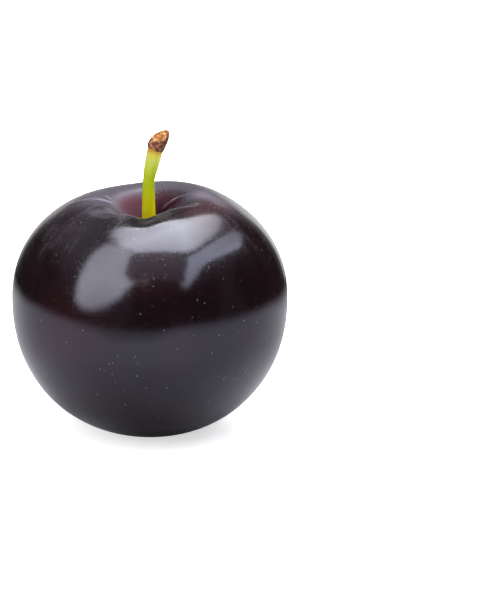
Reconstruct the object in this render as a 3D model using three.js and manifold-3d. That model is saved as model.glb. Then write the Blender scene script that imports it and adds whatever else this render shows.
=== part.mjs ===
// A ripe black plum with its stalk, standing on the small flat spot at its blossom end.
// Millimetres, +Z up. X runs across the cheeks, and the seam of the fruit faces -Y.
// The origin is below the middle of the fruit, on the surface that it stands on.

import * as THREE from 'three';
import { mergeVertices } from 'three/addons/utils/BufferGeometryUtils.js';
import Module from 'manifold-3d';

const wasm = await Module();
wasm.setup();

// ---- Driving dimensions ----

// The fruit's plain body: a round form that is fuller above than an ellipse and narrows to its base.
const fruitWidth = 55.8; // across the cheeks
const fruitDepth = 53.8; // from the seam to the back
const upperRise = 23.4; // from the widest level to the top, as if the top had no hollow
const lowerDrop = 28; // from the widest level to the bottom, as if the bottom had no flat spot
const upperFullness = 2.16; // exponent of the upper outline, where 2 is an ellipse
const lowerFullness = 2.12;
const flatRadius = 5.5; // the flat spot that the fruit stands on
const navelRadius = 2; // the small pit at the blossom end, inside the flat spot
const navelDepth = 0.4;

// The hollow round the stalk, a funnel with a soft crest that steepens to a throat in its middle.
const hollowDepth = 8.5;
const hollowRadius = 6.5;
const hollowSharpness = 1.45; // 1 is a cone, 2 is a round bowl
const throatDepth = 3.4;
const throatRadius = 3.4;
const creaseDepth = 1.4; // a short crease in the hollow's wall behind the stalk
const creaseWidth = 1.8;
const creasePlace = 4.5;
const creaseReach = 2.8;

// The right cheek stands a little higher than the left one.
const cheekRise = 0.98;
const cheekPlace = 7.8;
const cheekSpread = 11.4;

// The seam cuts a V into the front of the hollow's crest, then runs down the front as a faint groove.
const seamPlace = -0.6; // X of the seam
const notchDepth = 3.65;
const notchRadius = 9; // from the middle of the hollow to the deepest part of the notch
const notchReach = 5.5; // how far the notch fades along the seam
const notchLeft = 5.5; // half width of its flatter flank
const notchRight = 3.4; // half width of its steeper flank
const notchTip = 0.6; // rounding at the bottom of the V
const dipDepth = 1.3; // a shallow dip in the crest, right of the V
const dipRight = 6.8;
const dipFront = 4.5;
const dipReach = 4;
const grooveDepth = 0.2;
const grooveWidth = 2.6;

// The stalk stands in a plain hole in the floor of the hollow and bends to the right near its end.
const holeRadius = 1.75;
const holeFloor = 37.5;
const gap = 0.3; // clearance between pieces that touch
const rootRadius = 1.35;
const footHeight = 45.2;
const footRadius = 1.36;
const waistHeight = 51.4;
const waistRadius = 1.15;
const stalkTop = 58.35;
const topRadius = 1.57;
const leanStart = 50.2; // the height where the bend begins
const leanRate = 0.0275; // sideways travel for each square millimetre of height above that
const leanHeight = 4.2; // how far the bend goes on; the stalk runs straight above it
const stalkShift = -0.12;

// The corky end, where the stalk came off the twig: a short, crusted collar that leans to the right and is cut
// off aslant, so that its face looks up, to the left and to the front. Its hollowed underside sits over the
// stalk's domed top.
const endBottom = stalkTop + gap;
const endRadius = 1.83;
const endLean = 0.155; // sideways travel for each millimetre of its height
const faceHeight = 2.7; // of the cut face above the collar's foot, in its middle
const faceRight = 0.66; // how much the face climbs for each millimetre to the right
const faceBack = 0.46; // and to the back
const faceDome = 0.3;
const faceTop = 3.5; // above this height the face climbs less,
const faceEase = 0.55; // by this share
const lowestEdge = 1.4;
const crustRelief = 0.06;
const seatRise = 0.8; // height of the dome at the top of the stalk

// ---- Mesh fineness ----

const fruitRings = 36;
const fruitSegments = 76;
const ringCrowding = 1.3; // above 1, rings lie closer at the top, where the shape turns most
const stalkSegments = 18;
const endSegments = 18;

// ---- Helpers ----

// A turned form about the Z axis from [radius, height] pairs that begin and end on the axis.
function turned(profile, segments) {
  const points = profile.map(([radius, height]) => new THREE.Vector2(radius, height));
  const geometry = new THREE.LatheGeometry(points, segments);
  geometry.rotateX(Math.PI / 2);
  return joined(geometry);
}

// The same surface with each shared corner held once, and no empty triangles at the poles.
function joined(geometry) {
  geometry.deleteAttribute('normal');
  geometry.deleteAttribute('uv');
  const merged = mergeVertices(geometry, 1e-4);
  const corners = Array.from(merged.index.array);
  const kept = [];
  for (let i = 0; i < corners.length; i += 3) {
    const [a, b, c] = corners.slice(i, i + 3);
    if (a !== b && b !== c && c !== a) kept.push(a, b, c);
  }
  merged.setIndex(kept);
  return merged;
}

// Moves each corner of a geometry by a function of its place.
function reshaped(geometry, move) {
  const position = geometry.attributes.position;
  const corner = new THREE.Vector3();
  for (let i = 0; i < position.count; i += 1) {
    corner.fromBufferAttribute(position, i);
    move(corner);
    position.setXYZ(i, corner.x, corner.y, corner.z);
  }
  return geometry;
}

function toSolid(geometry) {
  return new wasm.Manifold(new wasm.Mesh({
    numProp: 3,
    vertProperties: new Float32Array(geometry.attributes.position.array),
    triVerts: new Uint32Array(geometry.index.array),
  }));
}

function toGeometry(solid) {
  const mesh = solid.getMesh();
  const geometry = new THREE.BufferGeometry();
  geometry.setAttribute('position', new THREE.BufferAttribute(mesh.vertProperties, 3));
  geometry.setIndex(new THREE.BufferAttribute(mesh.triVerts, 1));
  geometry.computeVertexNormals();
  return geometry;
}

function piece(name, geometry, color, roughness) {
  geometry.computeVertexNormals();
  const mesh = new THREE.Mesh(geometry, new THREE.MeshStandardMaterial({ color, roughness, metalness: 0 }));
  mesh.name = name;
  return mesh;
}

function bell(distance, spread) {
  return Math.exp(-((distance / spread) ** 2));
}

// ---- Fruit ----

const halfWidth = fruitWidth / 2;

// The height of the widest level, so that the lower outline meets the floor at the flat spot's edge.
const widestLevel = lowerDrop * (1 - (flatRadius / halfWidth) ** lowerFullness) ** (1 / lowerFullness);

// One point of the plain body's outline, for a turn from 0 at the top to PI at the bottom.
function bodyOutline(turn) {
  const above = turn < Math.PI / 2;
  const fullness = above ? upperFullness : lowerFullness;
  const across = halfWidth * Math.sin(turn) ** (2 / fullness);
  const away = Math.abs(Math.cos(turn)) ** (2 / fullness);
  return [across, above ? widestLevel + upperRise * away : widestLevel - lowerDrop * away];
}

function fruitProfile() {
  const flatTurn = Math.PI - Math.asin((flatRadius / halfWidth) ** (lowerFullness / 2));
  const profile = [[0, navelDepth], [navelRadius / 2, navelDepth * 0.8], [navelRadius, 0], [flatRadius, 0]];
  for (let i = fruitRings - 1; i >= 0; i -= 1) {
    profile.push(bodyOutline(flatTurn * (i / fruitRings) ** ringCrowding));
  }
  return profile;
}

// The seam's cross shape: 1 at its bottom, falling off to each side.
function seamShape(x, left, right) {
  const off = x - seamPlace;
  const rounded = Math.sqrt(off * off + notchTip * notchTip) - notchTip;
  return Math.exp(-((rounded / (off < 0 ? left : right)) ** 1.2));
}

function shapeFruit(corner) {
  const across = Math.hypot(corner.x, corner.y);
  const crown = Math.max(0, (corner.z - widestLevel) / upperRise);
  const front = 1 / (1 + Math.exp((corner.y + 2) / 1.2));
  const hollow = hollowDepth * Math.exp(-((across / hollowRadius) ** hollowSharpness))
    + throatDepth * bell(across, throatRadius)
    + creaseDepth * bell(corner.x, creaseWidth) * bell(corner.y - creasePlace, creaseReach);
  const cheek = cheekRise * bell(corner.x - cheekPlace, cheekSpread);
  const notch = notchDepth * front * bell(across - notchRadius, notchReach)
    * seamShape(corner.x, notchLeft, notchRight);
  const dip = dipDepth * bell(Math.hypot(corner.x - dipRight, corner.y + dipFront), dipReach);
  const side = Math.min(1, across / halfWidth) ** 3;
  const fade = Math.min(1, Math.max(0, corner.z / widestLevel));
  const groove = grooveDepth * front * side * fade * seamShape(corner.x, grooveWidth, grooveWidth);
  corner.z += crown * (cheek - hollow - notch - dip);
  corner.y = (corner.y + groove) * (fruitDepth / fruitWidth);
}

function fruitGeometry() {
  const body = reshaped(turned(fruitProfile(), fruitSegments), shapeFruit);
  const holeTop = widestLevel + upperRise;
  const hole = new THREE.CylinderGeometry(holeRadius, holeRadius, holeTop - holeFloor, 24);
  hole.rotateX(Math.PI / 2);
  hole.translate(stalkShift, 0, (holeTop + holeFloor) / 2);
  return toGeometry(toSolid(body).subtract(toSolid(joined(hole))));
}

// ---- Stalk and its corky end ----

// Bends what is modelled upright on the Z axis along the stalk's curve.
function bend(corner) {
  const above = Math.max(0, corner.z - leanStart);
  const curved = Math.min(above, leanHeight);
  const lean = 2 * leanRate * curved;
  const slope = Math.atan(lean);
  const middle = stalkShift + leanRate * curved * curved + lean * (above - curved);
  corner.z -= corner.x * Math.sin(slope);
  corner.x = middle + corner.x * Math.cos(slope);
}

function stalkGeometry() {
  const base = holeFloor + gap;
  const profile = [[0, base], [rootRadius * 0.8, base], [rootRadius, base + 0.5]];
  const steps = 14;
  const curve = new THREE.CatmullRomCurve3([
    new THREE.Vector3(rootRadius, 0, footHeight - 1.6),
    new THREE.Vector3(footRadius, 0, footHeight),
    new THREE.Vector3(waistRadius + 0.11, 0, footHeight + 3.6),
    new THREE.Vector3(waistRadius, 0, waistHeight),
    new THREE.Vector3(waistRadius + 0.14, 0, waistHeight + 2.6),
    new THREE.Vector3(topRadius - 0.1, 0, waistHeight + 5),
    new THREE.Vector3(topRadius, 0, stalkTop - 0.25),
  ]);
  for (const point of curve.getSpacedPoints(steps)) {
    profile.push([point.x, point.z]);
  }
  profile.push([topRadius - 0.15, stalkTop]);
  profile.push([topRadius / 2, stalkTop + seatRise * 0.75]);
  profile.push([0, stalkTop + seatRise]);
  return reshaped(turned(profile, stalkSegments), bend);
}

// The height of the slanting face above the collar's foot.
function faceAt(x, y) {
  const height = faceHeight + faceRight * x + faceBack * y;
  return Math.max(lowestEdge, height - faceEase * Math.max(0, height - faceTop));
}

function endGeometry() {
  // Turned with a level face first: shares of the radius and of the height, up the side and in to the middle.
  const dome = faceDome / faceHeight;
  const outline = [
    [0.94, 0], [1, 0.06], [1, 0.35], [0.98, 0.7], [0.93, 0.93],
    [0.86, 1], [0.6, 1 + 0.6 * dome], [0.3, 1 + 0.9 * dome], [0, 1 + dome],
  ];
  const profile = [[0, endBottom + seatRise], [endRadius / 2, endBottom + seatRise * 0.75]];
  for (const [wide, high] of outline) {
    profile.push([wide * endRadius, endBottom + high * faceHeight]);
  }
  return reshaped(turned(profile, endSegments), (corner) => {
    const level = corner.z - endBottom;
    const radius = Math.hypot(corner.x, corner.y);
    const inSeat = level <= seatRise && radius < 0.6 * endRadius;
    const above = inSeat ? level : level * (faceAt(corner.x, corner.y) / faceHeight);
    const angle = Math.atan2(corner.y, corner.x);
    const lumps = Math.sin(3 * angle + 1) * Math.sin(2.1 * level) + Math.sin(7 * angle) * Math.sin(3.4 * level);
    const grown = 1 + crustRelief * lumps * Math.min(1, level / 2);
    corner.x = corner.x * grown + endLean * above;
    corner.y *= grown;
    corner.z = endBottom + above;
    bend(corner);
  });
}

// ---- The plum ----

const plum = new THREE.Group();
plum.add(piece('fruit', fruitGeometry(), 0x2a1a22, 0.2));
plum.add(piece('stalk', stalkGeometry(), 0xa6b221, 0.5));
plum.add(piece('stalk_end', endGeometry(), 0x8a5a3a, 0.9));

export default plum;
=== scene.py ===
import math

import bpy
import numpy as np
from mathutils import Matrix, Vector, noise


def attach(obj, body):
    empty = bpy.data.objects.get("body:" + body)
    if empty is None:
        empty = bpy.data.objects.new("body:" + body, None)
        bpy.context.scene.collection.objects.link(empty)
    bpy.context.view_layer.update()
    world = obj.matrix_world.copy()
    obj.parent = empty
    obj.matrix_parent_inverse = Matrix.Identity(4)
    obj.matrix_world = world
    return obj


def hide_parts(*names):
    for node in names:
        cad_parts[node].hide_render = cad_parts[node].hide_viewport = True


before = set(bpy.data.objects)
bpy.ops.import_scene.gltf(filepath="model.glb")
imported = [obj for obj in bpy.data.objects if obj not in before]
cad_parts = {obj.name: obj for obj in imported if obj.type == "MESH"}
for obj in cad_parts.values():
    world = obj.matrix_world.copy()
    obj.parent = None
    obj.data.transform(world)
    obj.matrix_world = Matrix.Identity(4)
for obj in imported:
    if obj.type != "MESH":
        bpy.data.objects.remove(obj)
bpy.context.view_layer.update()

mm = 0.001


def toLinear(colour):
    parts = [int(colour[i:i + 2], 16) / 255 for i in (1, 3, 5)]
    return [c / 12.92 if c <= 0.04045 else ((c + 0.055) / 1.055) ** 2.4 for c in parts] + [1.0]


def addNode(tree, kind, settings=None, inputs=None, output=None):
    made = tree.nodes.new("ShaderNode" + kind)
    for key, value in (settings or {}).items():
        setattr(made, key, value)
    for key, value in (inputs or {}).items():
        socket = next(s for s in made.inputs if key in (s.identifier, s.name))
        if isinstance(value, bpy.types.NodeSocket):
            tree.links.new(value, socket)
        else:
            socket.default_value = value
    return next((s for s in made.outputs if s.enabled and output in (None, s.name)), None)


def addRamp(tree, value, stops):
    # a colour ramp from a list of (place, hex colour)
    made = tree.nodes.new("ShaderNodeValToRGB")
    bands = made.color_ramp.elements
    while len(bands) < len(stops):
        bands.new(0.5)
    for band, (place, colour) in zip(bands, stops):
        band.position = place
        band.color = toLinear(colour)
    tree.links.new(value, made.inputs["Fac"])
    return made.outputs["Color"]


def newMaterial(name):
    made = bpy.data.materials.new(name)
    made.use_nodes = True
    return made, made.node_tree, made.node_tree.nodes["Principled BSDF"]


def buildMesh(name, places, faces, material, masks=None):
    mesh = bpy.data.meshes.new(name)
    mesh.from_pydata((places * mm).tolist(), [], faces)
    mesh.validate()
    for maskName, values in (masks or {}).items():
        mask = mesh.attributes.new(maskName, "FLOAT", "POINT")
        mask.data.foreach_set("value", values.astype(np.float32))
    mesh.polygons.foreach_set("use_smooth", [True] * len(mesh.polygons))
    mesh.materials.append(material)
    piece = bpy.data.objects.new(name, mesh)
    bpy.context.scene.collection.objects.link(piece)
    return piece


def ringFaces(rings, segments):
    # quads between rings of points that run from the bottom up, and a fan to a point at each end
    faces = []
    for ring in range(rings - 1):
        for i in range(segments):
            j = (i + 1) % segments
            a, b = ring * segments + i, ring * segments + j
            faces.append((a, b, b + segments, a + segments))
    bottom, top = rings * segments, rings * segments + 1
    last = (rings - 1) * segments
    for i in range(segments):
        j = (i + 1) % segments
        faces.append((bottom, j, i))
        faces.append((top, last + i, last + j))
    return faces


def bell(distance, spread):
    return np.exp(-((distance / spread) ** 2))


def smooth(value, low, high):
    t = np.clip((value - low) / (high - low), 0, 1)
    return t * t * (3 - 2 * t)


def band(value, middle, spread):
    return bell(value - middle, spread)


def sector(turn, middle, spread):
    # one side of the plum, round the given turn in degrees
    return bell(np.cos(turn - math.radians(middle)) - 1, spread)


def noiseAt(places, size):
    # soft lumps of about the given size in millimetres, from -1 to 1; moved places give another pattern
    return np.array([noise.noise(Vector(p) / size) for p in places])


def patches(places, size, low, high):
    # the same as a mask: 0 where the noise is below low and 1 where it is above high
    return smooth(noiseAt(places, size), low, high)


# The fruit: the same round body, stalk hollow and seam as the CAD solid, in millimetres, with far more
# rings. Turns are in degrees, 0 at the seam and 90 to the right. Bands round the stalk are (radius, spread),
# edges are the two radii between which something sets in or ends, and patches are (size, low, high).
fruit = {
    "width": 55.8,
    "depth": 53.8,
    "upperRise": 23.4,
    "lowerDrop": 28.0,
    "upperFullness": 2.16,
    "lowerFullness": 2.12,
    "flatRadius": 5.5,
    "navelRadius": 2.0,
    "navelDepth": 0.4,
    "navelEdge": (0.2, 1.3),  # the pit's wall, in shares of its radius
    "hollowDepth": 8.5,
    "hollowRadius": 6.5,
    "hollowSharpness": 1.45,
    "throatDepth": 3.4,  # the steeper middle of the hollow, where the stalk stands
    "throatRadius": 3.4,
    "creaseDepth": 1.4,  # the seam's crease in the hollow's far wall
    "creaseWidth": 1.8,
    "creasePlace": 4.5,
    "creaseReach": 2.8,
    "cheekRise": 0.98,
    "cheekPlace": 7.8,
    "cheekSpread": 11.4,
    "seamPlace": -0.6,
    "notchDepth": 3.65,  # the V that the seam cuts into the crest
    "notchRadius": 9.0,
    "notchReach": 5.5,
    "notchLeft": 5.5,
    "notchRight": 3.4,
    "notchTip": 0.6,
    "notchSharpness": 1.2,
    "dipDepth": 1.3,  # a shallow dip in the crest, right of the V
    "dipPlace": (6.8, -4.5),
    "dipReach": 4.0,
    "grooveDepth": 0.2,
    "grooveWidth": 2.6,
    "frontPlace": -2.0,  # the seam's groove and notch are on the near side of this y
    "frontBlend": 1.2,
    "rings": 250,
    "flatRings": 21,
    "segments": 320,
    "crowding": 1.3,  # above 1, the rings stand closer together near the stalk
    "waves": [(17.0, 0.10), (7.0, 0.03)],  # soft unevenness of the skin: size, height
    "waveHeights": (0.5, 6),  # the waves set in between these heights, above the flat spot
    # folds of skin round the hollow: height, half width, share of untouched wax with a painted glint on the
    # ridge, and the way it runs in plan
    "folds": [
        (0.14, 0.35, 0.45, [
            (-17.5, 0.6), (-15.2, -1.0), (-13.4, -0.9), (-11.8, -0.7), (-10.4, -0.9), (-9.3, -1.1),
            (-8.0, -1.0), (-6.8, -0.8), (-5.2, -0.2),
        ]),
        (0.12, 0.4, 0.35, [
            (-14.9, -8.6), (-14.0, -8.6), (-12.4, -8.0), (-11.5, -6.6), (-10.2, -5.5), (-8.6, -4.6),
            (-7.3, -3.8), (-5.7, -3.4),
        ]),
        (0.16, 0.4, 0.45, [(-9.4, 2.2), (-8.8, 1.7), (-6.9, 0.4), (-4.9, 0.4), (-4.0, 0.1)]),
        (0.10, 0.3, 0.2, [(-13.5, 1.6), (-10.8, 0.6), (-8.3, -0.6)]),
        (0.16, 0.28, 0.8, [
            (1.9, 3.1), (2.9, 3.0), (3.8, 2.8), (4.4, 2.7), (5.1, 2.4), (5.9, 2.1), (6.8, 1.5),
            (7.8, 1.2), (8.8, 1.1),
        ]),
        (0.07, 0.3, 0.7, [(1.4, -12.8), (2.9, -11.4), (3.8, -10.8), (4.4, -9.8), (5.4, -9.7)]),
        (0.05, 0.35, 0.5, [(-5.2, -11.2), (-2.4, -12.1), (-1.6, -12.2), (0.2, -12.6)]),
    ],
    "foldEnds": (0.25, 0.7),  # a fold rises to the first share of its length and dies away from the second
    "foldWaxAndGlint": 0.7,  # width of the wax and painted glint on a fold, as a share of the fold's
    "foldBreaks": (-0.2, 0.4),  # wrinkles between these break the wax and painted glint on the folds
    "foldEvenness": 0.3,  # what is left of it there
    "wrinkleTurns": 26.0,
    "wrinkleLength": 9.0,
    "wrinkleDepth": 0.06,
    "wrinkleEvenness": 0.4,  # depth on the side with the least wax, as a share of the depth above
    "fineWrinkles": 0.5,
    "wrinkleInner": (5, 8),
    "wrinkleOuter": (11, 17),
    "lipPlace": (-2.4, -11.6),  # the raised lip in front of the notch
    "lipRise": 0.7,
    "lipWidth": (4.4, 2.2, 3.0),  # to the sides, the front and the back
    # where the finishes of the skin lie, and where sheen and shade are painted on it
    "crownHeights": (40, 43),
    "waxyTurn": -110,
    "hollowEdge": (5.5, 9),
    # the hollow's wax sets in between these radii; the bare middle is darker, partly painted shade
    "hollowWaxAndShadeEdge": (4.8, 7.8),
    "rimBand": (8.5, 3.5),
    "shoulderBand": (17, 7),
    "crestBand": (10.5, 4.5),
    "crestEdge": (5.5, 8.5),
    "crestTurn": 185,
    "crestBlend": (-0.6, -0.1),
    # painted sheen: the far wall, the far crest and the lip in front of the notch get pale wax where they
    # catch reflections
    "farWall": (5.0, 8.5, 4),  # x, y, spread
    "farSheen": [(10.5, 0.0), (14.0, -3.5)],
    "farSheenWidth": 2.2,
    "lipSheen": [(-9.8, -8.8), (-7.4, -8.9), (-6.2, -10.0), (-4.6, -11.8)],
    "lipSheenWidth": 1.7,
    "waxPatches": (9.0, 0, 0.5),
    "redEdge": (5, 9),
    "redPaintedShade": 0.8,  # painted shade: the hollow's red is darker towards its middle, on the side with the least wax
    "redPaintedShadeEdge": (2.5, 5),
    "redBand": (14, 3.5),
    "redSector": (60, 0.12),
    "redPatches": (12.0, 0.1, 0.6),
    "flushPlace": (-15.5, -21.0, 26.0),
    "flushSpread": 8,
    "dullSide": (0.5, 0.8),
    "dustPlace": (3.2, -12.6, 48.5),
    "dustSpread": 1.7,
    "dustShare": 0.45,
    "streakBand": (20, 4.5),
    "streakSector": (-62, 0.1),
    "streakHeights": (30, 37),
    "speckPatches": (5.0, 0.25, 0.5),
    "stalkScarEdge": (1.6, 2.4),
    "blossomScarEdge": (0.7, 1.6),
    "blossomHeight": 1,
    # how much untouched wax lies in each place, with painted sheen on the crest, the far wall and the lips,
    # how much red shows through, and how strong the streaks are
    "waxAndSheenShares": {
        "hollow": 0.08, "hollowWaxy": 0.4, "farWall": 0.03, "rim": 0.05, "crest": 0.23, "farSheen": 0.2,
        "lipSheen": 0.22, "red": 0.05, "shoulder": 0.02, "patches": 0.01,
    },
    "redShares": {"hollow": 0.22, "side": 0.4, "flush": 0.15, "patches": 0.06},
    "streakShares": {"waxy": 0.8, "red": 0.35, "all": 0.05},
}


def seamShape(x, left, right):
    off = x - fruit["seamPlace"]
    rounded = np.sqrt(off ** 2 + fruit["notchTip"] ** 2) - fruit["notchTip"]
    return np.exp(-((rounded / np.where(off < 0, left, right)) ** fruit["notchSharpness"]))


def shapeFruit(x, y, z, widest):
    f = fruit
    across = np.hypot(x, y)
    crown = np.maximum(0, (z - widest) / f["upperRise"])
    front = 1 / (1 + np.exp((y - f["frontPlace"]) / f["frontBlend"]))
    hollow = f["hollowDepth"] * np.exp(-((across / f["hollowRadius"]) ** f["hollowSharpness"]))
    hollow = hollow + f["throatDepth"] * bell(across, f["throatRadius"])
    crease = bell(x, f["creaseWidth"]) * band(y, f["creasePlace"], f["creaseReach"])
    hollow = hollow + f["creaseDepth"] * crease
    cheek = f["cheekRise"] * band(x, f["cheekPlace"], f["cheekSpread"])
    notch = f["notchDepth"] * front * band(across, f["notchRadius"], f["notchReach"])
    notch = notch * seamShape(x, f["notchLeft"], f["notchRight"])
    dip = f["dipDepth"] * bell(np.hypot(x - f["dipPlace"][0], y - f["dipPlace"][1]), f["dipReach"])
    side = np.minimum(1, across / (f["width"] / 2)) ** 3
    fade = np.clip(z / widest, 0, 1)
    groove = f["grooveDepth"] * front * side * fade * seamShape(x, f["grooveWidth"], f["grooveWidth"])
    z = z + crown * (cheek - hollow - notch - dip)
    y = (y + groove) * f["depth"] / f["width"]
    return np.stack([x, y, z], -1)


def fromPath(places, path):
    # each point's distance in plan from a bent line, and the place along it, 0 to 1, that it is nearest to
    nearest = np.full(len(places), np.inf)
    along = np.zeros(len(places))
    for number, (start, end) in enumerate(zip(path, path[1:])):
        step = np.subtract(end, start)
        off = places[:, :2] - start
        share = np.clip(off @ step / (step @ step), 0, 1)
        apart = np.linalg.norm(off - share[:, None] * step, axis=1)
        along = np.where(apart < nearest, (number + share) / (len(path) - 1), along)
        nearest = np.minimum(nearest, apart)
    return nearest, along


def liftCrown(places, radius, turn, waxy, top):
    # the height of the folds, wrinkles and lip round the hollow, and the wax and painted glint that lie on
    # the folds
    f = fruit
    around = np.stack([np.sin(turn), -np.cos(turn), radius / f["wrinkleLength"]], -1)
    coarseTurns, fineTurns = f["wrinkleTurns"] / 6, f["wrinkleTurns"] / 2
    wrinkles = noiseAt(around * [coarseTurns, coarseTurns, 1], 1.0)
    fine = noiseAt(around * [fineTurns, fineTurns, 1] + 7, 1.0)
    waxAndSheen = np.zeros(len(places))
    lift = np.zeros(len(places))
    riseEnd, fallStart = f["foldEnds"]
    for height, width, paleWaxAndGlint, path in f["folds"]:
        apart, along = fromPath(places, path)
        taper = smooth(along, 0, riseEnd) * (1 - smooth(along, fallStart, 1))
        lift += height * taper * bell(apart, width)
        waxAndSheen = np.maximum(waxAndSheen, paleWaxAndGlint * taper * bell(apart, f["foldWaxAndGlint"] * width))
    waxAndSheen *= f["foldEvenness"] + (1 - f["foldEvenness"]) * smooth(wrinkles, *f["foldBreaks"])
    crown = smooth(radius, *f["wrinkleInner"]) * (1 - smooth(radius, *f["wrinkleOuter"])) * top
    depth = f["wrinkleDepth"] * (f["wrinkleEvenness"] + (1 - f["wrinkleEvenness"]) * waxy)
    lift += depth * crown * (wrinkles + f["fineWrinkles"] * fine)
    side, front, back = f["lipWidth"]
    off = places[:, :2] - f["lipPlace"]
    lipDepth = bell(off[:, 1], np.where(off[:, 1] < 0, front, back))
    lift += f["lipRise"] * np.exp(-(off[:, 0] / side) ** 4) * lipDepth
    return top * lift, waxAndSheen


def dressCrown(places):
    # raises the folds and wrinkles round the hollow, and returns how much of each finish, painted sheen and
    # painted shade every point has
    f = fruit
    radius = np.hypot(places[:, 0], places[:, 1])
    turn = np.arctan2(places[:, 0], -places[:, 1])
    top = smooth(places[:, 2], *f["crownHeights"])
    waxy = 0.5 + 0.5 * np.cos(turn - math.radians(f["waxyTurn"]))
    lift, foldWaxAndGlint = liftCrown(places, radius, turn, waxy, top)
    places[:, 2] += lift

    inHollow = top * (1 - smooth(radius, *f["hollowEdge"]))
    redSide = sector(turn, *f["redSector"])
    redPatch = redSide * band(radius, *f["redBand"]) * top
    wallX, wallY, wallSpread = f["farWall"]
    farWall = bell(np.hypot(places[:, 0] - wallX, places[:, 1] - wallY), wallSpread) * top
    crestSide = smooth(np.cos(turn - math.radians(f["crestTurn"])), *f["crestBlend"])
    crest = crestSide * band(radius, *f["crestBand"]) * smooth(radius, *f["crestEdge"]) * top

    # pale wax, with painted sheen on the crest, the far wall and the lips
    waxAndSheen = f["waxAndSheenShares"]
    bloomAndSheen = inHollow * (waxAndSheen["hollow"] + waxAndSheen["hollowWaxy"] * waxy ** 3) * smooth(radius, *f["hollowWaxAndShadeEdge"])
    bloomAndSheen += waxAndSheen["farWall"] * farWall
    bloomAndSheen += waxAndSheen["rim"] * band(radius, *f["rimBand"]) * top * waxy
    bloomAndSheen += waxAndSheen["crest"] * crest
    bloomAndSheen += waxAndSheen["farSheen"] * bell(fromPath(places, f["farSheen"])[0], f["farSheenWidth"]) * top
    bloomAndSheen += waxAndSheen["lipSheen"] * bell(fromPath(places, f["lipSheen"])[0], f["lipSheenWidth"]) * top
    bloomAndSheen += waxAndSheen["red"] * redPatch
    bloomAndSheen += waxAndSheen["shoulder"] * band(radius, *f["shoulderBand"]) * top * waxy ** 2
    bloomAndSheen += waxAndSheen["patches"] * patches(places, *f["waxPatches"])
    bloomAndSheen += foldWaxAndGlint

    blush = f["redShares"]
    # painted shade: the hollow's red is darker near the stalk, on the side with the least wax
    paintedShade = f["redPaintedShade"] * (1 - waxy) * (1 - smooth(radius, *f["redPaintedShadeEdge"]))
    red = inHollow * (1 - smooth(radius, *f["redEdge"])) * (1 - paintedShade)
    red *= blush["hollow"] + (1 - blush["hollow"]) * waxy
    red += blush["side"] * redPatch
    red += blush["flush"] * bell(np.linalg.norm(places - f["flushPlace"], axis=1), f["flushSpread"])
    red += blush["patches"] * patches(places + 30, *f["redPatches"])

    dust = f["dustShare"] * bell(np.linalg.norm(places - f["dustPlace"], axis=1), f["dustSpread"])
    marks = f["streakShares"]
    streaks = marks["waxy"] * sector(turn, *f["streakSector"]) + marks["red"] * redSide + marks["all"]
    streaks *= band(radius, *f["streakBand"]) * smooth(places[:, 2], *f["streakHeights"])
    stalkScar = (1 - smooth(radius, *f["stalkScarEdge"])) * top
    blossomScar = (1 - smooth(radius, *f["blossomScarEdge"])) * (places[:, 2] < f["blossomHeight"])
    return {
        "bloomAndSheenMask": bloomAndSheen,
        "redMask": red,
        "dullMask": np.maximum(inHollow * smooth(waxy, *f["dullSide"]), dust),
        "streakMask": streaks,
        "speckMask": patches(places + 90, *f["speckPatches"]),
        "scarMask": stalkScar + blossomScar,
    }


def makeFruit(material):
    f = fruit
    half = f["width"] / 2
    flatShare = (f["flatRadius"] / half) ** f["lowerFullness"]
    widest = f["lowerDrop"] * (1 - flatShare) ** (1 / f["lowerFullness"])
    flatTurn = math.pi - math.asin(math.sqrt(flatShare))
    turn = flatTurn * (np.arange(f["rings"], 0, -1) / f["rings"]) ** f["crowding"]
    above = turn < math.pi / 2
    fullness = np.where(above, f["upperFullness"], f["lowerFullness"])
    across = half * np.sin(turn) ** (2 / fullness)
    away = np.abs(np.cos(turn)) ** (2 / fullness)
    height = np.where(above, widest + f["upperRise"] * away, widest - f["lowerDrop"] * away)
    # the blossom end: the flat spot and the pit inside it
    inner = np.linspace(0.3, f["flatRadius"], f["flatRings"], endpoint=False)
    pitIn, pitOut = f["navelEdge"]
    pit = f["navelDepth"] * (1 - smooth(inner, pitIn * f["navelRadius"], pitOut * f["navelRadius"]))
    across = np.concatenate([inner, across])
    height = np.concatenate([pit, height])
    angle = np.arange(f["segments"]) * 2 * math.pi / f["segments"]
    x = np.outer(across, np.sin(angle)).ravel()
    y = -np.outer(across, np.cos(angle)).ravel()
    z = np.repeat(height, f["segments"])
    x = np.append(x, [0, 0])
    y = np.append(y, [0, 0])
    z = np.append(z, [f["navelDepth"], widest + f["upperRise"]])
    places = shapeFruit(x, y, z, widest)
    outward = places - [0, 0, widest]
    outward /= np.linalg.norm(outward, axis=1)[:, None]
    clear = smooth(places[:, 2], *f["waveHeights"])
    for size, depth in f["waves"]:
        places += outward * (noiseAt(places, size) * depth * clear)[:, None]
    masks = dressCrown(places)
    piece = buildMesh("plumFruit", places, ringFaces(len(across), f["segments"]), material, masks)
    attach(piece, "root")
    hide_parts("fruit")
    print("fruit:", len(piece.data.polygons), "faces")


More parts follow.
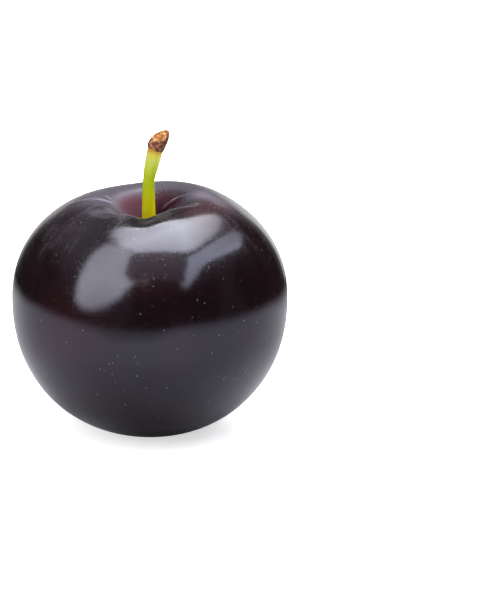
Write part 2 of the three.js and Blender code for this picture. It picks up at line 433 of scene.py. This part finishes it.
# The stalk: a round green stem with fine ribs, bent to the right near its end.
stalk = {
    # (height, radius), from just clear of the hollow's floor to just inside the corky end
    "outline": [
        (37.8, 1.35), (43.6, 1.35), (45.2, 1.36), (47.8, 1.28), (49.8, 1.24),
        (51.4, 1.15), (53.0, 1.18), (54.0, 1.35), (56.4, 1.51), (58.65, 1.57),
    ],
    "softening": 19,  # rings over which the outline's corners are rounded
    "foot": 45.2,
    "top": 58.35,
    "leanStart": 50.2,
    "leanRate": 0.0275,
    "leanHeight": 4.2,
    "shift": -0.12,
    "rings": 150,
    "segments": 72,
    "ribDepth": 0.009,
    "ribs": (9, 0.5, 0.35),  # number, and how far and how fast they wander
    "fineRibs": (17, 0.6, 0.08),  # number, share of the depth, and twist
}


def bendAlong(places):
    s = stalk
    above = np.maximum(0, places[:, 2] - s["leanStart"])
    curved = np.minimum(above, s["leanHeight"])
    slope = np.arctan(2 * s["leanRate"] * curved)
    middle = s["leanRate"] * curved ** 2 + 2 * s["leanRate"] * curved * (above - curved)
    bent = places.copy()
    bent[:, 2] = places[:, 2] - places[:, 0] * np.sin(slope)
    bent[:, 0] = s["shift"] + middle + places[:, 0] * np.cos(slope)
    return bent


def turnedPlaces(heights, radii, segments, relief):
    # rings of points about Z, with relief(angle, height, radius) giving each point's own radius
    angle = np.arange(segments) * 2 * math.pi / segments
    a, z = np.meshgrid(angle, heights)
    r = relief(a, z, np.repeat(radii[:, None], segments, 1))
    places = np.stack([r * np.sin(a), -r * np.cos(a), z], -1).reshape(-1, 3)
    ends = [[0, 0, heights[0]], [0, 0, heights[-1]]]
    return np.concatenate([places, ends])


def makeStalk(material):
    s = stalk
    outlineHeights, outlineRadii = zip(*s["outline"])
    heights = np.linspace(outlineHeights[0], outlineHeights[-1], s["rings"])
    radii = np.interp(heights, outlineHeights, outlineRadii)
    kernel = np.hanning(s["softening"]) / np.hanning(s["softening"]).sum()
    radii = np.convolve(np.pad(radii, s["softening"] // 2, mode="edge"), kernel, mode="valid")

    def relief(a, z, r):
        count, wander, pace = s["ribs"]
        fineCount, fineShare, twist = s["fineRibs"]
        ribs = np.sin(count * a + wander * np.sin(pace * z))
        fineRibs = fineShare * np.sin(fineCount * a + 2 + twist * z)
        return r + s["ribDepth"] * (ribs + fineRibs)

    upright = turnedPlaces(heights, radii, s["segments"], relief)
    masks = {
        "climb": (upright[:, 2] - s["foot"]) / (s["top"] - s["foot"]),
        # painted light: the stalk's left side is coloured darker and its right side lighter
        "paintedSideLight": 0.5 + 0.5 * np.sin(np.arctan2(upright[:, 0], -upright[:, 1])),
    }
    faces = ringFaces(s["rings"], s["segments"])
    piece = buildMesh("plumStalk", bendAlong(upright), faces, material, masks)
    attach(piece, "root")
    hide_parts("stalk")
    print("stalk:", len(piece.data.polygons), "faces")


# The corky end of the stalk: a short collar, cut off aslant where the stalk left the twig, with a crumbled
# face.
cork = {
    "foot": (1.28, 0.0, 58.6),
    "tilt": 23.5,
    "shift": 0.02,
    "collar": [(0.0, 1.66), (0.12, 1.78), (0.35, 1.8), (0.6, 1.78), (0.8, 1.74), (1.0, 1.6)],
    "squeeze": 0.16,  # how much thinner the tip is
    "squeezeHeights": (2.6, 4.4),
    "faceHeight": 3.0,
    "faceSlope": (0.88, 0.5),
    "faceTop": 4.05,  # above this the slanting face is flatter by the share below
    "faceFlattening": 0.55,
    "lowest": 1.5,
    "faceBlend": (0.75, 1.0),  # the part of the wall, and the heights, over which the face's finish sets in
    "faceHeights": (1.5, 2.5),
    "underside": 0.3,
    "dome": 0.35,
    "sideRings": 44,
    "faceRings": 40,
    "segments": 140,
    "rimWave": 0.14,
    "rimLump": 0.4,
    "lumpSize": 0.75,
    "lumpDepth": 0.16,
    "crumbSize": 0.34,
    "crumbDepth": 0.2,
    "crumbMiddle": 0.3,
    "wallRoughness": 0.35,  # relief of the collar's wall, as a share of the face's
    "faceTear": 0.8,  # how far the lumps move the edge between collar and face
}


def makeCork(material):
    c = cork
    angle = np.arange(c["segments"]) * 2 * math.pi / c["segments"]
    right, back = np.sin(angle), -np.cos(angle)
    radius = c["collar"][-1][1]
    slopeRight, slopeBack = c["faceSlope"]

    def faceAt(x, y):
        height = c["faceHeight"] + slopeRight * x + slopeBack * y
        return np.maximum(c["lowest"], height - c["faceFlattening"] * np.maximum(0, height - c["faceTop"]))

    edge = faceAt(right * radius, back * radius)
    rim = c["rimWave"] * noiseAt(np.stack([right, back, 0 * right], -1), c["rimLump"])
    rings, faceShare = [], []
    collarShares, collarRadii = zip(*c["collar"])
    for share in np.linspace(0, 1, c["sideRings"]):
        wide = np.interp(share, collarShares, collarRadii)
        height = rim * (1 - share) ** 3 + edge * share
        rings.append(np.stack([right * wide, back * wide, height], -1))
        faceShare.append(np.full(c["segments"], smooth(share, *c["faceBlend"])))
    for share in np.linspace(0, 1, c["faceRings"] + 1)[1:-1]:
        wide = radius * (1 - share)
        x, y = right * wide, back * wide
        height = faceAt(x, y) + c["dome"] * (1 - (1 - share) ** 2)
        rings.append(np.stack([x, y, height], -1))
        faceShare.append(np.ones(c["segments"]))
    ends = [[0, 0, c["underside"]], [0, 0, c["faceHeight"] + c["dome"]]]
    places = np.concatenate(rings + [np.array(ends)])
    onFace = np.concatenate(faceShare + [np.array([0, 1])])

    # the relief stands out from a point a little above the collar's foot
    outward = places * [1, 1, 0.5] - [0, 0, 0.6]
    outward /= np.linalg.norm(outward, axis=1)[:, None]
    lumps = noiseAt(places, c["lumpSize"])
    crumbs = np.abs(noiseAt(places + 50, c["crumbSize"])) - c["crumbMiddle"]
    relief = c["lumpDepth"] * lumps + c["crumbDepth"] * crumbs
    relief *= c["wallRoughness"] + (1 - c["wallRoughness"]) * onFace
    places = places + outward * relief[:, None]
    places[:, :2] *= (1 - c["squeeze"] * smooth(places[:, 2], *c["squeezeHeights"]))[:, None]
    places[:, 0] += c["shift"]
    onFace = onFace * smooth(places[:, 2], *c["faceHeights"])
    masks = {
        "faceMask": np.clip(onFace + c["faceTear"] * lumps - 0.1, 0, 1),
        "crumbMask": np.clip(0.5 + lumps + crumbs, 0, 1),
    }

    tilt = math.radians(c["tilt"])
    x, z = places[:, 0].copy(), places[:, 2].copy()
    places[:, 0] = c["foot"][0] + x * math.cos(tilt) + z * math.sin(tilt)
    places[:, 2] = c["foot"][2] - x * math.sin(tilt) + z * math.cos(tilt)
    count = c["sideRings"] + c["faceRings"] - 1
    piece = buildMesh("plumStalkEnd", places, ringFaces(count, c["segments"]), material, masks)
    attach(piece, "root")
    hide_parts("stalk_end")
    print("cork end:", len(piece.data.polygons), "faces")


# Plum skin: a thin cuticle over dark flesh, grown under its own wax. Rubbed, it is glossy and nearly black.
# Where the wax was never touched it stays a dull mauve, in the hollow, along the folds and in thin streaks.
# The same mauve is also painted sheen on the crest, the far wall, the lip and the folds' ridges, and the
# hollow's red is painted darker towards the stalk, as painted shade.
# Pale dots are its pores, and fine dull pits take the edge off the gloss. Sizes are in millimetres. The
# streaks and pores are drawn as coarse as they need to show, because real ones are finer.
skinLook = {
    "dark": "#0b0506",
    "red": "#3c151d",
    "bloomAndSheen": "#635d6a",
    "dot": "#7c7278",
    "scar": "#3a2618",
    "tint": "#e9eaff",
    "dotCell": 2.1,
    "dotRadius": 0.15,
    "dotShare": 0.7,
    "speckCell": 0.8,
    "speckRadius": 0.11,
    "streakWidth": 0.11,
    "streakRadius": 18.0,  # how far out the streaks have that width
    "streakLength": 13.0,
    "streakBreak": 3.6,
    "pitSize": 0.45,
    "pitDullness": 0.135,
    "grain": 0.35,
    "grainDepth": 0.003,
    "peel": 1.3,
    "peelDepth": 0.003,
    "gloss": 0.12,
}


def makeSkin():
    look = skinLook
    material, tree, principled = newMaterial("waxedPlumSkin")
    place = addNode(tree, "TexCoord", output="Object")
    bloomAndSheen = addNode(tree, "Attribute", {"attribute_name": "bloomAndSheenMask"}, output="Fac")
    red = addNode(tree, "Attribute", {"attribute_name": "redMask"}, output="Fac")
    streaked = addNode(tree, "Attribute", {"attribute_name": "streakMask"}, output="Fac")
    scar = addNode(tree, "Attribute", {"attribute_name": "scarMask"}, output="Fac")
    dull = addNode(tree, "Attribute", {"attribute_name": "dullMask"}, output="Fac")

    # streaks follow the lines from the stalk to the blossom end
    flat = addNode(tree, "VectorMath", {"operation": "MULTIPLY"}, {"Vector": place, "Vector_001": (1, 1, 0)})
    radius = addNode(tree, "VectorMath", {"operation": "LENGTH"}, {"Vector": flat}, "Value")
    way = addNode(tree, "VectorMath", {"operation": "NORMALIZE"}, {"Vector": flat}, "Vector")
    way = addNode(tree, "VectorMath", {"operation": "SCALE"}, {
        "Vector": way, "Scale": look["streakRadius"] / look["streakWidth"],
    }, "Vector")
    climb = addNode(tree, "Math", {"operation": "MULTIPLY"}, {
        "Value": radius, "Value_001": 1 / (look["streakLength"] * mm),
    })
    climb = addNode(tree, "CombineXYZ", None, {"Z": climb})
    along = addNode(tree, "VectorMath", {"operation": "ADD"}, {"Vector": way, "Vector_001": climb}, "Vector")
    streaks = addNode(tree, "TexNoise", None, {
        "Vector": along, "Scale": 1.0, "Detail": 2.0, "Roughness": 0.6, "Distortion": 0.9,
    }, "Fac")
    streaks = addNode(tree, "MapRange", None, {
        "Value": streaks, "From Min": 0.5, "From Max": 0.72, "To Min": 0.0, "To Max": 0.42,
    })
    breaks = addNode(tree, "TexNoise", None, {
        "Vector": place, "Scale": 1 / (look["streakBreak"] * mm),
    }, "Fac")
    breaks = addNode(tree, "MapRange", None, {"Value": breaks, "From Min": 0.38, "From Max": 0.6})
    streaks = addNode(tree, "Math", {"operation": "MULTIPLY"}, {"Value": streaks, "Value_001": breaks})
    streaks = addNode(tree, "Math", {"operation": "MULTIPLY"}, {"Value": streaks, "Value_001": streaked})
    bloomAndSheen = addNode(tree, "Math", {"operation": "ADD", "use_clamp": True}, {
        "Value": bloomAndSheen, "Value_001": streaks,
    })

    colour = addNode(tree, "Mix", {"data_type": "RGBA"}, {
        "Factor_Float": red, "A_Color": toLinear(look["dark"]), "B_Color": toLinear(look["red"]),
    })
    # the pale mauve of untouched wax, which is also painted sheen where the mask carries it
    colour = addNode(tree, "Mix", {"data_type": "RGBA"}, {
        "Factor_Float": bloomAndSheen, "A_Color": colour, "B_Color": toLinear(look["bloomAndSheen"]),
    })
    specked = addNode(tree, "Attribute", {"attribute_name": "speckMask"}, output="Fac")
    dotSorts = [
        (look["dotCell"], look["dotRadius"], look["dotShare"]),
        (look["speckCell"], look["speckRadius"], specked),
    ]
    for cell, size, share in dotSorts:
        dots = addNode(tree, "TexVoronoi", None, {"Vector": place, "Scale": 1 / (cell * mm)}, "Distance")
        dotMask = addNode(tree, "MapRange", {"interpolation_type": "SMOOTHSTEP"}, {
            "Value": dots, "From Min": size / cell, "From Max": 0.3 * size / cell,
            "To Min": 0.0, "To Max": share,
        })
        colour = addNode(tree, "Mix", {"data_type": "RGBA"}, {
            "Factor_Float": dotMask, "A_Color": colour, "B_Color": toLinear(look["dot"]),
        })
    colour = addNode(tree, "Mix", {"data_type": "RGBA"}, {
        "Factor_Float": scar, "A_Color": colour, "B_Color": toLinear(look["scar"]),
    })
    tree.links.new(colour, principled.inputs["Base Color"])

    dull = addNode(tree, "Math", {"operation": "MAXIMUM"}, {"Value": dull, "Value_001": scar})
    dull = addNode(tree, "Math", {"operation": "MAXIMUM"}, {"Value": dull, "Value_001": bloomAndSheen})
    rough = addNode(tree, "MapRange", None, {"Value": dull, "To Min": look["gloss"], "To Max": 1.0})
    pits = addNode(tree, "TexNoise", None, {
        "Vector": place, "Scale": 1 / (look["pitSize"] * mm), "Detail": 1.0,
    }, "Fac")
    pits = addNode(tree, "MapRange", None, {
        "Value": pits, "From Min": 0.5, "From Max": 0.75, "To Min": 0.0, "To Max": look["pitDullness"],
    })
    rough = addNode(tree, "Math", {"operation": "ADD", "use_clamp": True}, {
        "Value": rough, "Value_001": pits,
    })
    tree.links.new(rough, principled.inputs["Roughness"])
    grain = addNode(tree, "TexNoise", None, {
        "Vector": place, "Scale": 1 / (look["grain"] * mm), "Detail": 2.0,
    }, "Fac")
    peel = addNode(tree, "TexNoise", None, {"Vector": place, "Scale": 1 / (look["peel"] * mm)}, "Fac")
    bump = addNode(tree, "Bump", None, {"Height": peel, "Distance": look["peelDepth"] * mm})
    bump = addNode(tree, "Bump", None, {
        "Height": grain, "Distance": look["grainDepth"] * mm, "Normal": bump,
    })
    tree.links.new(bump, principled.inputs["Normal"])
    principled.inputs["IOR"].default_value = 1.5
    principled.inputs["Specular Tint"].default_value = toLinear(look["tint"])
    return material


# Green stalk: live plant tissue with a thin dull cuticle, yellow at its foot and paler towards the scar.
# Light goes into it and comes out close by, so that it glows softly. Stops are places from its foot to its
# top, and from its left side to its right; the side stops paint shade on its left side and light on its
# right.
stalkLook = {
    "paintedSideShadeStops": [(0.0, "#c6bec4"), (0.5, "#dcddd6"), (1.0, "#ffffff")],
    "stops": [
        (0.0, "#bcac00"), (0.1, "#bab200"), (0.25, "#b0b400"), (0.45, "#a0ae08"), (0.6, "#a2b020"),
        (0.72, "#aab640"), (0.85, "#b0b858"), (0.94, "#bcb050"), (1.0, "#b08038"),
    ],
    "fibre": "#7d8600",
    "fibreWidth": 0.22,
}


def makeGreen():
    look = stalkLook
    material, tree, principled = newMaterial("greenStalkTissue")
    place = addNode(tree, "TexCoord", output="Object")
    climb = addNode(tree, "Attribute", {"attribute_name": "climb"}, output="Fac")
    side = addNode(tree, "Attribute", {"attribute_name": "paintedSideLight"}, output="Fac")
    # painted shade on the left side and painted light on the right, multiplied into the colour
    colour = addNode(tree, "Mix", {"data_type": "RGBA", "blend_type": "MULTIPLY"}, {
        "Factor_Float": 1.0,
        "A_Color": addRamp(tree, climb, look["stops"]),
        "B_Color": addRamp(tree, side, look["paintedSideShadeStops"]),
    })
    stretched = addNode(tree, "VectorMath", {"operation": "MULTIPLY"}, {
        "Vector": place, "Vector_001": (1, 1, 0.06),
    }, "Vector")
    fibres = addNode(tree, "TexNoise", None, {
        "Vector": stretched, "Scale": 1 / (look["fibreWidth"] * mm), "Detail": 2.0,
    }, "Fac")
    fibreShare = addNode(tree, "MapRange", None, {
        "Value": fibres, "From Min": 0.45, "From Max": 0.7, "To Min": 0.0, "To Max": 0.25,
    })
    colour = addNode(tree, "Mix", {"data_type": "RGBA"}, {
        "Factor_Float": fibreShare, "A_Color": colour, "B_Color": toLinear(look["fibre"]),
    })
    tree.links.new(colour, principled.inputs["Base Color"])
    principled.inputs["Roughness"].default_value = 0.6
    principled.inputs["Specular IOR Level"].default_value = 0.12
    principled.inputs["Subsurface Weight"].default_value = 0.9
    principled.inputs["Subsurface Radius"].default_value = (1.0, 1.0, 0.5)
    principled.inputs["Subsurface Scale"].default_value = 2.4 * mm
    return material


# Cork: a dry scab, purple-brown round its collar and torn to pale tan crumbs on its face.
corkLook = {
    "collarStops": [(0.3, "#2a1610"), (0.5, "#5a3626"), (0.7, "#86583f"), (0.9, "#b08a6c")],
    "faceStops": [
        (0.2, "#40240e"), (0.36, "#643c16"), (0.5, "#7c5028"), (0.64, "#96744c"), (0.8, "#cdbb9c"),
    ],
    "grain": 0.3,  # size of the crumbs' grain in millimetres
    "crumbShare": 0.3,  # how much of the tone follows the relief
}


def makeScab():
    look = corkLook
    material, tree, principled = newMaterial("dryCorkScab")
    place = addNode(tree, "TexCoord", output="Object")
    face = addNode(tree, "Attribute", {"attribute_name": "faceMask"}, output="Fac")
    crumb = addNode(tree, "Attribute", {"attribute_name": "crumbMask"}, output="Fac")
    grain = addNode(tree, "TexNoise", None, {
        "Vector": place, "Scale": 1 / (look["grain"] * mm), "Detail": 3.0, "Roughness": 0.6,
    }, "Fac")
    tone = addNode(tree, "Mix", {"data_type": "FLOAT"}, {
        "Factor_Float": look["crumbShare"], "A_Float": grain, "B_Float": crumb,
    })
    colour = addNode(tree, "Mix", {"data_type": "RGBA"}, {
        "Factor_Float": face,
        "A_Color": addRamp(tree, tone, look["collarStops"]),
        "B_Color": addRamp(tree, tone, look["faceStops"]),
    })
    tree.links.new(colour, principled.inputs["Base Color"])
    principled.inputs["Roughness"].default_value = 0.9
    principled.inputs["Specular IOR Level"].default_value = 0.2
    return material


makeFruit(makeSkin())
makeStalk(makeGreen())
makeCork(makeScab())

# The camera looks a little down at the seam side, from far enough off that the fruit isn't distorted.
view = {
    "elevation": 16.0,
    "distance": 600.0,
    "aim": (20.24, 0.0, 27.18),
    "frameHeight": 121.52,
}


def makeCamera():
    data = bpy.data.cameras.new("camera")
    data.sensor_width = 36
    data.lens = data.sensor_width * view["distance"] / view["frameHeight"]
    camera = bpy.data.objects.new("camera", data)
    bpy.context.scene.collection.objects.link(camera)
    tilt = math.radians(view["elevation"])
    away = Vector((0, -math.cos(tilt), math.sin(tilt)))
    camera.location = (Vector(view["aim"]) + away * view["distance"]) * mm
    camera.rotation_euler = (math.pi / 2 - tilt, 0, 0)
    bpy.context.scene.camera = camera
    print("camera:", round(data.lens, 1), "mm lens")


makeCamera()

# Softboxes and cards hang round the plum, seen only in its skin. Corners are (turn, height, share of the
# light), in degrees as seen from the middle of the plum: turn 0 is towards the camera and 90 to the right.
# A box with its own distance hangs in front of the others and adds to them. Distances are in millimetres.
softboxMiddle = (0, 0, 28)
softboxDistance = 1500.0
softboxes = {
    "overheadSoftbox": {
        "light": 14.7,
        "edge": 0.07,
        "corners": [
            (-52, 66, 0.8), (-24, 63, 0.68), (31, 62, 0.66), (54, 57, 0.75), (67, 56, 0.7), (89, 54, 0.55),
            (112, 49, 0.45), (127, 43, 0.27), (141, 38, 0.27), (149, 38, 0.28), (150, 45, 0.36),
            (151, 57, 0.5), (160, 64, 0.75), (-163, 63, 0.75), (-128, 66, 0.5), (-95, 67, 0.55),
        ],
    },
    "windowSoftbox": {
        "light": 6.9,
        "edge": 0.12,
        "corners": [
            (-79, 56, 0.9), (-68, 38, 1.0), (-63, 20, 1.0), (-60, 8, 0.9), (-53, 2, 0.78), (-43, 2, 0.7),
            (-32, 8, 0.75), (-21, 17, 0.9), (-10, 31, 1.0), (-6, 43, 0.9), (-9, 54, 0.9), (-25, 66, 1.0),
            (-58, 73, 1.0), (-90, 68, 0.8),
        ],
    },
    "sideSoftbox": {
        "light": 5.7,
        "edge": 0.08,
        "tint": "#f2f4ff",
        "corners": [
            (32, 22, 0.6), (29, 28, 0.95), (35, 47, 1.1), (47, 52, 1.05), (69, 52, 1.1), (96, 49, 1.0),
            (120, 41, 0.75), (132, 33, 0.4), (132, 28, 0.4), (116, 30, 0.9), (90, 38, 1.0), (68, 40, 1.05),
            (52, 37, 1.0), (40, 28, 1.0),
        ],
    },
    "ceilingCard": {
        "light": 0.75,
        "edge": 0.03,
        "corners": [
            (-20, 34, 0.5), (0, 34, 0.5), (15, 33, 0.7), (34, 28, 0.5), (47, 52, 1.4), (31, 63, 1.8),
            (-28, 63, 1.8),
        ],
    },
    "rearSoftbox": {
        "light": 0.6,
        "edge": 0.3,
        "corners": [
            (176, 28, 0.5), (-174, 27, 0.5), (-164, 30, 1.2), (-158, 38, 1.4), (-160, 48, 1.4),
            (180, 50, 0.3),
        ],
    },
    "rearCard": {
        "light": 0.28,
        "edge": 0.15,
        "corners": [
            (-148, -8, 0.5), (-163, -8, 1), (180, -8, 1), (165, -8, 1), (148, -8, 0.6), (150, 27, 0.9),
            (168, 27, 0.7), (-178, 24, 0.6), (-150, 24, 0.6),
        ],
    },
    "backdropStrip": {
        "light": 0.5,
        "edge": 0.1,
        "distance": 1400.0,
        "corners": [
            (-157, -20, 0.9), (-170, -20, 1), (170, -20, 1), (158, -20, 1.6), (158, -4, 2.5), (158, 12, 2.5),
            (166, 14, 1.7), (180, 9, 0.8), (-168, 10, 0.9), (-158, 11, 1.4), (-157, -4, 1.2),
        ],
    },
}


def towards(turn, height):
    t, h = math.radians(turn), math.radians(height)
    return Vector((math.sin(t) * math.cos(h), -math.cos(t) * math.cos(h), math.sin(h)))


def makeSoftbox(name, box):
    # a domed panel of lit diffuser cloth that fades over its edge, so that its reflection is soft
    ways = [towards(turn, height) for turn, height, _ in box["corners"]]
    shares = [share for _, _, share in box["corners"]]
    middle = sum(ways, Vector()).normalized()
    places, glow = [middle], [1.0]
    for reach, part in ((1 - box["edge"], 1), (1 + box["edge"], 0)):
        places += [middle.lerp(way, reach).normalized() for way in ways]
        glow += [share * part for share in shares]
    count = len(ways)
    faces = []
    for i in range(count):
        j = (i + 1) % count
        faces.append((0, 1 + i, 1 + j))
        faces.append((1 + i, 1 + count + i, 1 + count + j, 1 + j))
    mesh = bpy.data.meshes.new(name)
    distance = box.get("distance", softboxDistance)
    mesh.from_pydata([(Vector(softboxMiddle) + way * distance) * mm for way in places], [], faces)
    mesh.attributes.new("glow", "FLOAT", "POINT").data.foreach_set("value", glow)
    material = bpy.data.materials.new(name + "Cloth")
    material.use_nodes = True
    tree = material.node_tree
    tree.nodes.clear()
    share = addNode(tree, "Attribute", {"attribute_name": "glow"}, output="Fac")
    strength = addNode(tree, "Math", {"operation": "MULTIPLY"}, {"Value": share, "Value_001": box["light"]})
    light = addNode(tree, "Emission", None, {
        "Strength": strength, "Color": toLinear(box.get("tint", "#ffffff")),
    })
    if "distance" in box:
        # clear cloth: what hangs behind shows through, so that the two lights add up
        clear = addNode(tree, "BsdfTransparent")
        light = addNode(tree, "AddShader", None, {"Shader": light, "Shader_001": clear})
    addNode(tree, "OutputMaterial", None, {"Surface": light})
    mesh.materials.append(material)
    panel = bpy.data.objects.new(name, mesh)
    bpy.context.scene.collection.objects.link(panel)
    panel.visible_camera = False


for name, box in softboxes.items():
    makeSoftbox(name, box)
print("softboxes:", len(softboxes))

# The floor is pale card. Its sheet shows only in the skin's reflections, and its colour carries painted
# shade:
# darker under the plum, in rings of (millimetres, share of the light), and fading round its outline, in
# rings of (reach, share). The painted light near the plum and far from it is given as (in front, at the
# sides, behind). The backlit card below shows to the camera.
floor = {
    "sheet": [
        (-195, -15), (-172, -58), (-136, -90), (-97, -104), (-58, -108), (-18, -118), (29, -133), (65, -138),
        (110, -120), (150, -90), (178, -55), (190, -10), (180, 25), (150, 60), (115, 78), (62, 98),
        (0, 112), (-72, 124), (-142, 118), (-175, 85), (-205, 30),
    ],
    "paintedShadeUnderPlum": [(5, 0.6), (12, 0.64), (20, 0.72), (27, 0.68), (38, 0.7), (48, 0.75), (62, 0.9)],
    "fade": [(0.78, 1.0), (1.0, 0.58), (1.2, 0.18), (1.4, 0.0)],
    "nearPaintedLight": (0.56, 2.1, 1.5),
    "farPaintedLight": (0.96, 0.78, 0.58),
    "farReach": 60.0,
    "sheetColour": "#a9aab0",
    "reach": 4000.0,
    "colour": "#d2d2d2",
    "backlight": 0.62,
    "drop": 0.1,
}


def layCard(name, places, paintedShade, rings, colour, backlight):
    # a flat sheet of matt paper card of rings of points, with a painted shade for each point
    count = len(places) // rings
    faces = [list(range(count))]
    for ring in range(rings - 1):
        for i in range(count):
            j = (i + 1) % count
            a, b = ring * count + i, ring * count + j
            faces.append((a, a + count, b + count, b))
    mesh = bpy.data.meshes.new(name)
    mesh.from_pydata([Vector(place) * mm for place in places], [], faces)
    mesh.attributes.new("paintedShade", "FLOAT", "POINT").data.foreach_set("value", paintedShade)
    material, tree, principled = newMaterial(name + "Card")
    share = addNode(tree, "Attribute", {"attribute_name": "paintedShade"}, output="Fac")
    tone = addNode(tree, "Mix", {"data_type": "RGBA"}, {
        "Factor_Float": share, "A_Color": (0, 0, 0, 1), "B_Color": toLinear(colour),
    })
    tree.links.new(tone, principled.inputs["Base Color"])
    principled.inputs["Roughness"].default_value = 0.9
    principled.inputs["Specular IOR Level"].default_value = 0.2
    principled.inputs["Emission Color"].default_value = (1, 1, 1, 1)
    principled.inputs["Emission Strength"].default_value = backlight
    mesh.materials.append(material)
    card = bpy.data.objects.new(name, mesh)
    bpy.context.scene.collection.objects.link(card)
    card.visible_shadow = False
    return card


# painted light on the sheet, from each way round the plum
def paintedLightFrom(way, light):
    front, sides, back = light
    return sides * way.x ** 2 + (front if way.y < 0 else back) * way.y ** 2


def makeFloor():
    places, paintedShade = [], []
    outline = [Vector((x, y, 0)) for x, y in floor["sheet"]]
    near, far = Vector(floor["nearPaintedLight"]), Vector(floor["farPaintedLight"])
    for distance, share in floor["paintedShadeUnderPlum"]:
        light = near.lerp(far, min(1, distance / floor["farReach"]))
        for way in outline:
            places.append(way.normalized() * distance)
            paintedShade.append(share * paintedLightFrom(way.normalized(), light))
    for reach, share in floor["fade"]:
        for way in outline:
            places.append(way * reach)
            paintedShade.append(share * paintedLightFrom(way.normalized(), far))
    rings = len(floor["paintedShadeUnderPlum"]) + len(floor["fade"])
    sheet = layCard("floorSheet", places, paintedShade, rings, floor["sheetColour"], 0.0)
    sheet.visible_camera = False
    sheet.visible_diffuse = False
    edge, low = floor["reach"], -floor["drop"]
    square = [(-edge, -edge, low), (edge, -edge, low), (edge, edge, low), (-edge, edge, low)]
    ground = layCard("floorRound", square, [1.0] * 4, 1, floor["colour"], floor["backlight"])
    ground.visible_glossy = False
    print("floor laid")


makeFloor()


def makeRoom():
    # white to the camera, and to the skin a dark room with a dim ceiling
    world = bpy.data.worlds.new("room")
    bpy.context.scene.world = world
    world.use_nodes = True
    tree = world.node_tree
    tree.nodes.clear()
    way = addNode(tree, "TexCoord", output="Generated")
    height = addNode(tree, "SeparateXYZ", None, {"Vector": way}, "Z")
    glow = addNode(tree, "MapRange", {"interpolation_type": "SMOOTHSTEP"}, {
        "Value": height, "From Min": 0.35, "From Max": 0.75, "To Min": 0.02, "To Max": 0.45,
    })
    dim = addNode(tree, "Background", None, {"Strength": glow})
    white = addNode(tree, "Background", None, {"Strength": 1.0, "Color": (1, 1, 1, 1)})
    seen = addNode(tree, "LightPath", output="Is Camera Ray")
    mixed = addNode(tree, "MixShader", None, {"Fac": seen, "Shader": dim, "Shader_001": white})
    addNode(tree, "OutputWorld", None, {"Surface": mixed})


makeRoom()
bpy.context.scene.view_settings.view_transform = "Standard"
